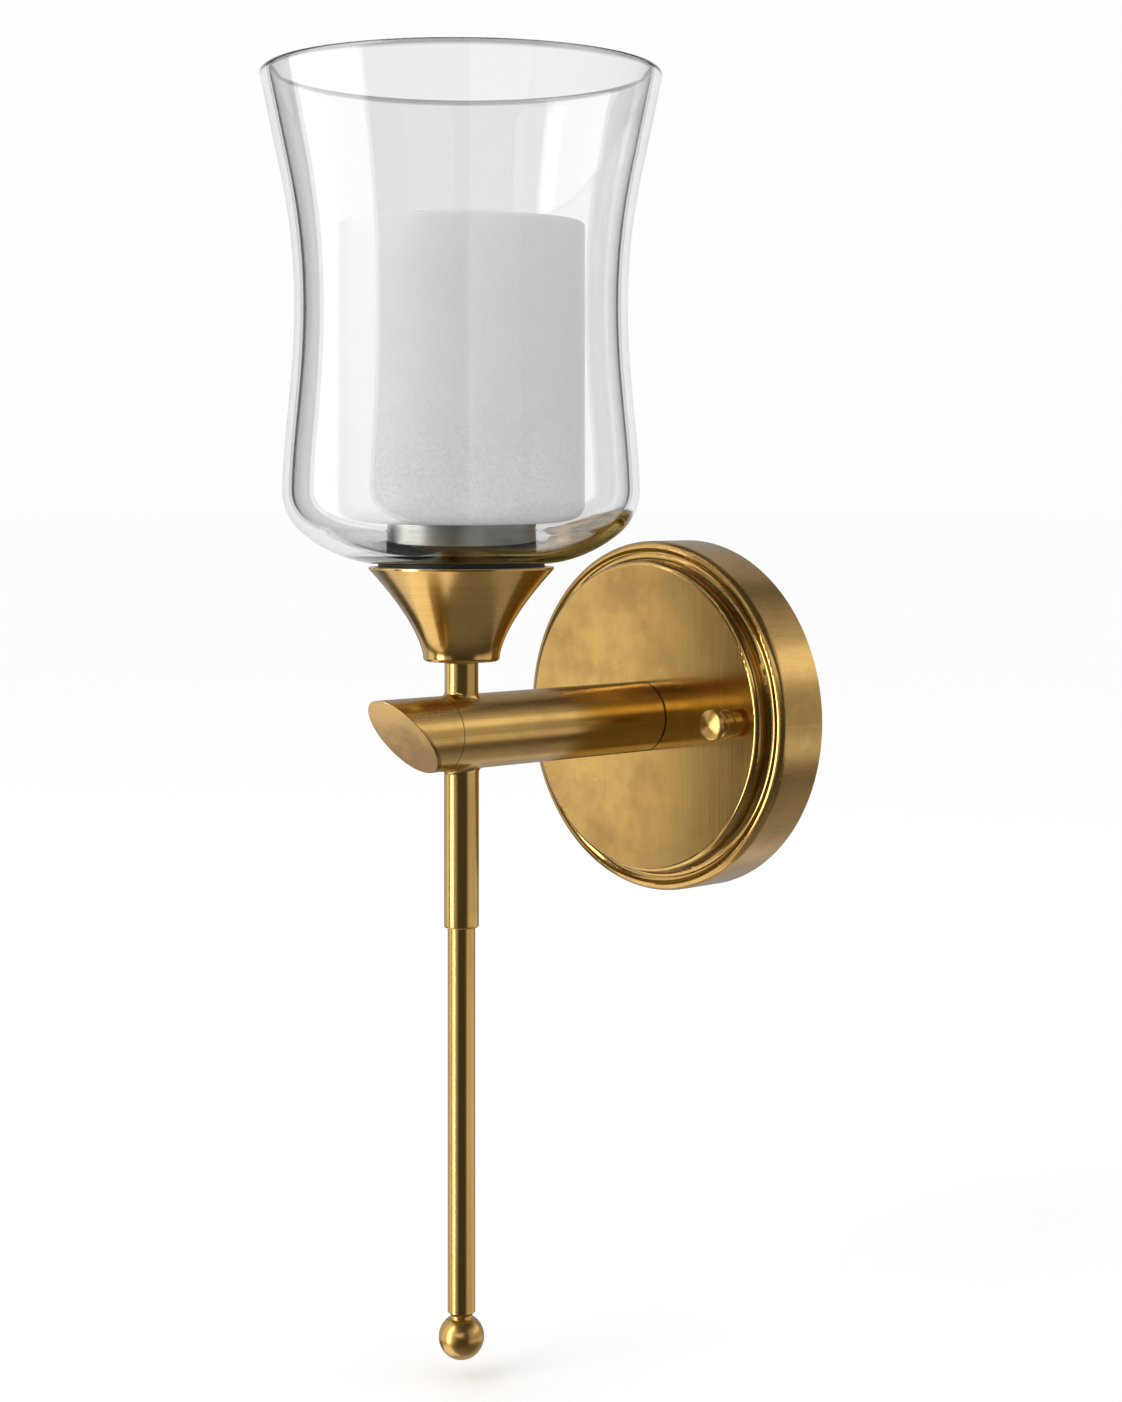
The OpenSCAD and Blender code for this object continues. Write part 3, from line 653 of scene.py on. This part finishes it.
def candle_lamp():
    """Opal candle lamp: glass drawn in at the neck, and a cap with a rolled thread."""
    low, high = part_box("bulb_glass")
    h, r = high.z - low.z, radius("bulb_glass")
    neck, wall = 6.6 * MM, 0.9 * MM
    outer = [(neck, 0)]
    for i in range(4, 63):
        u = i / 64
        width = r * math.sin(math.pi * u**0.72) ** 0.8
        outer.append((max(neck, width) if u < 0.5 else width, u * h))
    outline = outer + [(0, h), (0, h - 2 * MM)]
    outline += [(x - wall, z - 0.2 * MM) for x, z in outer[:4:-1]] + [(neck - wall, 0), (neck, 0)]
    base = STEM + Vector((0, 0, low.z))
    turned("lamp_bulb", outline, base, opal, "lamp", "bulb_glass", steps=96, crease=60)
    low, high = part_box("bulb_cap")
    h, r, turns = high.z - low.z, radius("bulb_cap"), 5
    pitch, groove, thread_h = 2.6 * MM, 0.45 * MM, 3.4 * MM
    thread = []
    for i in range(turns * 8 + 1):
        roll = groove * (1 - math.cos(math.tau * i / 8)) / 2
        thread.append((r - roll, thread_h + pitch * i / 8))
    cap = rounded([(0, 0), (2.2, 0), (2.4, 1.0), (4.4, 1.1), (6.2, 2.6)], 0.3, 3)
    outline = [(x * MM, z * MM) for x, z in cap] + thread
    outline += [(r, h - 0.2 * MM), (r - 0.3 * MM, h), (0, h)]
    base = STEM + Vector((0, 0, low.z))
    turned("lamp_cap", outline, base, cap_metal, "lamp", "bulb_cap", steps=96, crease=40)


def ball():
    """Ball on a short neck, with a hole for its stud."""
    low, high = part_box("ball_finial")
    r = radius("ball_finial")
    neck, neck_h, collar, depth = 3.9 * MM, high.z - low.z, 1.6 * MM, 8 * MM
    start = math.degrees(math.acos((neck_h - r - collar) / r))
    outline = arc(0, r, r, -90, 90 - start + 1, 48)
    outline[0] = (0, 0)
    foot = outline[-1]
    collar_side = [foot, (neck, foot[1] + 0.2 * MM), (neck, neck_h), (STUD_BORE, neck_h)]
    outline += rounded(collar_side, 0.15 * MM)[1:]
    outline += [(STUD_BORE, neck_h - depth), (0, neck_h - depth)]
    base = STEM + Vector((0, 0, low.z))
    turned("ball_turned", outline, base, small_brass, "finial", "ball_finial", steps=96)


FINISHES = {
    plate_brass: ["canopy"],
    arm_brass: ["arm_tube", "arm_nose"],
    nose_brass: ["nose_plate"],
    tube_brass: ["upper_stem", "lower_sleeve", "tail_rod"],
    turned_brass: ["cone_cup"],
    small_brass: ["cap_washer_left", "cap_washer_right", "cap_nut_left", "cap_nut_right", "ball_finial"],
    bright_brass: ["arm_bush", "earth_lug", "earth_screw", "screw_shell", "centre_contact"],
    zinc_steel: [
        "crossbar", "canopy_studs", "stud_nuts", "arm_nipple", "arm_washer", "arm_nut", "stem_pipe",
        "finial_stud", "cup_washer", "cup_nut", "cup_plate", "terminal_screws",
    ],
    rubber: ["shade_gasket", "clamp_gasket"],
    shade_glass: ["clear_glass"],
    etched_glass: ["frosted_glass"],
    aluminium: ["shade_clamp"],
    ceramic: ["lampholder", "terminal_block"],
    cap_metal: ["bulb_cap"],
    opal: ["bulb_glass"],
    brown: ["live_wire"],
    blue: ["neutral_wire"],
    green: ["earth_wire"],
}
for material, names in FINISHES.items():
    for node in names:
        mesh = nodes[node].data
        mesh.materials.clear()
        mesh.materials.append(material)

# The wires are rounded, and these two pieces have eased edges. JOINED merges their loose triangles.
JOINED = 0.01 * MM
for node, width in {"crossbar": 0.3, "terminal_block": 0.4}.items():
    nodes[node].modifiers.new("joined", "WELD").merge_threshold = JOINED
    edge = nodes[node].modifiers.new("eased", "BEVEL")
    edge.width = width * MM
    edge.segments = 2
    edge.limit_method = "ANGLE"
    edge.angle_limit = math.radians(40)
    edge.harden_normals = True
for node in ("live_wire", "neutral_wire", "earth_wire"):
    nodes[node].modifiers.new("joined", "WELD").merge_threshold = JOINED
    nodes[node].modifiers.new("round", "SUBSURF").render_levels = 2

clear_shade()
inner_glass()
flared_cup()
cap_nuts()
nose_cover()
candle_lamp()
ball()
saddled("stem_tube", "upper_stem", tube_brass, 6.1 * MM, 1)
saddled("sleeve_tube", "lower_sleeve", tube_brass, 6.3 * MM, -1)

# ---- studio ----

FLOOR_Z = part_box("ball_finial")[0].z - TRAVEL["finial_travel"][1] - 0.2 * MM
CAMERA_TURN = math.radians(45.5)
TOWARDS_CAMERA = Vector((math.sin(CAMERA_TURN), -math.cos(CAMERA_TURN), 0))
CAMERA_RIGHT = Vector((math.cos(CAMERA_TURN), math.sin(CAMERA_TURN), 0))


def camera():
    """Level camera to the right of the light and in front of the wall."""
    data = bpy.data.cameras.new("camera")
    data.lens = 66.58
    data.sensor_width = 36
    data.shift_x = -0.0025
    data.shift_y = -0.1505
    data.dof.use_dof = False
    made = bpy.data.objects.new("camera", data)
    made.location = (0.6922, -0.7492, 0.0872)
    made.rotation_euler = (math.radians(90), 0, CAMERA_TURN)
    bpy.context.scene.collection.objects.link(made)
    bpy.context.scene.camera = made


def studio_floor():
    """White paper sweep, just under the ball's lowest place. It is clear from below, and metal and
    glass show the studio's walls instead of it."""
    bpy.ops.object.select_all(action="DESELECT")
    bpy.ops.mesh.primitive_plane_add(size=60, location=(0, 0, FLOOR_Z))
    floor = bpy.context.object
    floor.name = "floor"
    f = Finish("paper")
    tooth = f.where().noise(900.0, 2.0)
    paper = f.node(
        "ShaderNodeBsdfPrincipled",
        {},
        {
            "Base Color": tooth.colour(rgb(0.985, 0.985, 0.985), rgb(0.99, 0.99, 0.99)),
            "Roughness": 0.9,
            "Specular IOR Level": 0.0,
        },
    )
    below = f.node("ShaderNodeNewGeometry", {}, {}, "Backfacing")
    clear = f.node("ShaderNodeBsdfTransparent", {}, {})
    sheet = f.node("ShaderNodeMixShader", {}, {0: below, 1: paper, 2: clear})
    floor.data.materials.append(f.close(sheet))
    floor.visible_glossy = False
    floor.visible_transmission = False


# Turn from the camera at which the left wall ends and the dark gap beside it starts
LEFT_EDGE = -89.4


def studio_walls():
    """A white room for plain light, and softboxes with dark gaps for what the metal mirrors.

    turn is the angle round from the camera, to its right, and height the angle above level."""
    world = bpy.data.worlds.new("studio")
    world.use_nodes = True
    bpy.context.scene.world = world
    tree = world.node_tree
    tree.nodes.clear()
    w = Wire(tree)
    way = w.node("ShaderNodeTexCoord", {}, {}, "Generated")

    def along(direction):
        return w.node("ShaderNodeVectorMath", {"operation": "DOT_PRODUCT"}, {0: way, 1: direction}, "Value")

    turn = w.sum("ARCTAN2", along(CAMERA_RIGHT), along(TOWARDS_CAMERA)) * math.degrees(1)
    height = w.sum("ARCSINE", along((0, 0, 1))) * math.degrees(1)
    upright = height.between(-18, 50, 6)
    left_box = turn.between(-74, -56, 3) * upright
    skirt = turn.between(-56, -36, 14) * upright
    left_wall = turn.between(-112, LEFT_EDGE, 2) * 0.5 + turn.between(-150, LEFT_EDGE, 2) * 0.5
    left_wall = left_wall * upright
    low_box = turn.between(-110, -63, 14) * height.ramp(-32, -24, 1.0, 0.0)
    nose_card = turn.between(-142, -118, 8) * height.between(-58, -38, 5)
    low_right = turn.between(108, 150, 12) * height.ramp(-22, -12, 1.0, 0.0)
    right_wall = turn.between(52, 125, 16) * height.between(-14, 35, 12)
    back_wall = (1 - turn.between(-140, 130, 20)) * height.ramp(38, 58, 1.0, 0.3)
    strip = height.between(16, 26, 4) * (turn.between(80, 118, 12) + turn.between(-30, 8, 8) * 1.5)

    # what satin brass mirrors first, and softer levels for brass that is mirrored in brass
    satin = right_wall * height.ramp(-12, -5, 0.78, 0.42) + left_wall * 1.05 + back_wall * 0.32
    satin = satin + nose_card * 0.8
    satin = satin + skirt * 0.45 + low_box * 1.15 + left_box * 5.0 + strip * 0.85 + low_right * 0.2 + 0.06
    satin = satin + height.ramp(-60, -20, 0.16, 0.0)
    depth = w.node("ShaderNodeLightPath", {}, {}, "Glossy Depth")
    later = depth.sum("GREATER_THAN", depth, 1.5)
    soft = satin.sum("MINIMUM", satin * 0.6 + 0.2, 1.3) * height.ramp(28, 40, 1.0, 0.45)
    soft = soft * (0.88 - turn.between(-112, -50, 12) * 0.2) + strip * 0.15
    soft = soft + turn.between(-42, 8, 8) * height.between(18, 40, 6) * 0.3
    satin = satin * (1 - later) + soft * later

    # what glass and other polished pieces mirror
    backdrop = (1 - turn.between(-142, 145, 2)) * height.between(-32, 28, 3)
    wide_box = turn.between(-110, -58, 1.5) * height.between(-60, 60, 8)
    faint_box = turn.between(8, 42, 1.5) * height.between(-60, 60, 8)
    polished = right_wall * 0.4 + wide_box * 3.0 + faint_box * 0.5 + 0.06
    polished = polished * (1 - backdrop) + backdrop * 0.985

    def ray(kind):
        return w.node("ShaderNodeLightPath", {}, {}, kind)

    matt = ray("Diffuse Depth")
    matt = matt.sum("GREATER_THAN", matt, 0.5)
    mirrored = depth.sum("GREATER_THAN", depth, 0.5) * (1 - matt)
    sharp = ray("Is Singular Ray") * mirrored
    rough = ray("Is Glossy Ray") * mirrored * (1 - ray("Is Singular Ray"))
    through = ray("Is Transmission Ray") * (1 - mirrored) * (1 - matt)
    plain = 0.985 - through * height.ramp(30, 38, 0.0, 0.7)
    strength = sharp * polished + rough * satin + (1 - sharp - rough) * plain
    hue = (later * rough).colour(rgb(1, 1, 1), rgb(0.93, 1.07, 0.97))
    glow = w.node("ShaderNodeBackground", {}, {"Color": hue, "Strength": strength})
    out = tree.nodes.new("ShaderNodeOutputWorld")
    tree.links.new(glow.socket, out.inputs["Surface"])


def key_light():
    """Broad soft lamp, high on the camera's left."""
    data = bpy.data.lights.new("key", "AREA")
    data.shape = "RECTANGLE"
    data.size = 0.9
    data.size_y = 1.2
    data.energy = 6
    lamp = bpy.data.objects.new("key", data)
    lamp.location = TOWARDS_CAMERA * 0.9 - CAMERA_RIGHT * 1.2 + Vector((0, 0, 1.1))
    lamp.rotation_euler = (Vector((0, -0.12, 0)) - lamp.location).to_track_quat("-Z", "Y").to_euler()
    lamp.visible_camera = False
    lamp.visible_glossy = False
    bpy.context.scene.collection.objects.link(lamp)


camera()
studio_floor()
studio_walls()
key_light()
bpy.context.scene.view_settings.view_transform = "Standard"
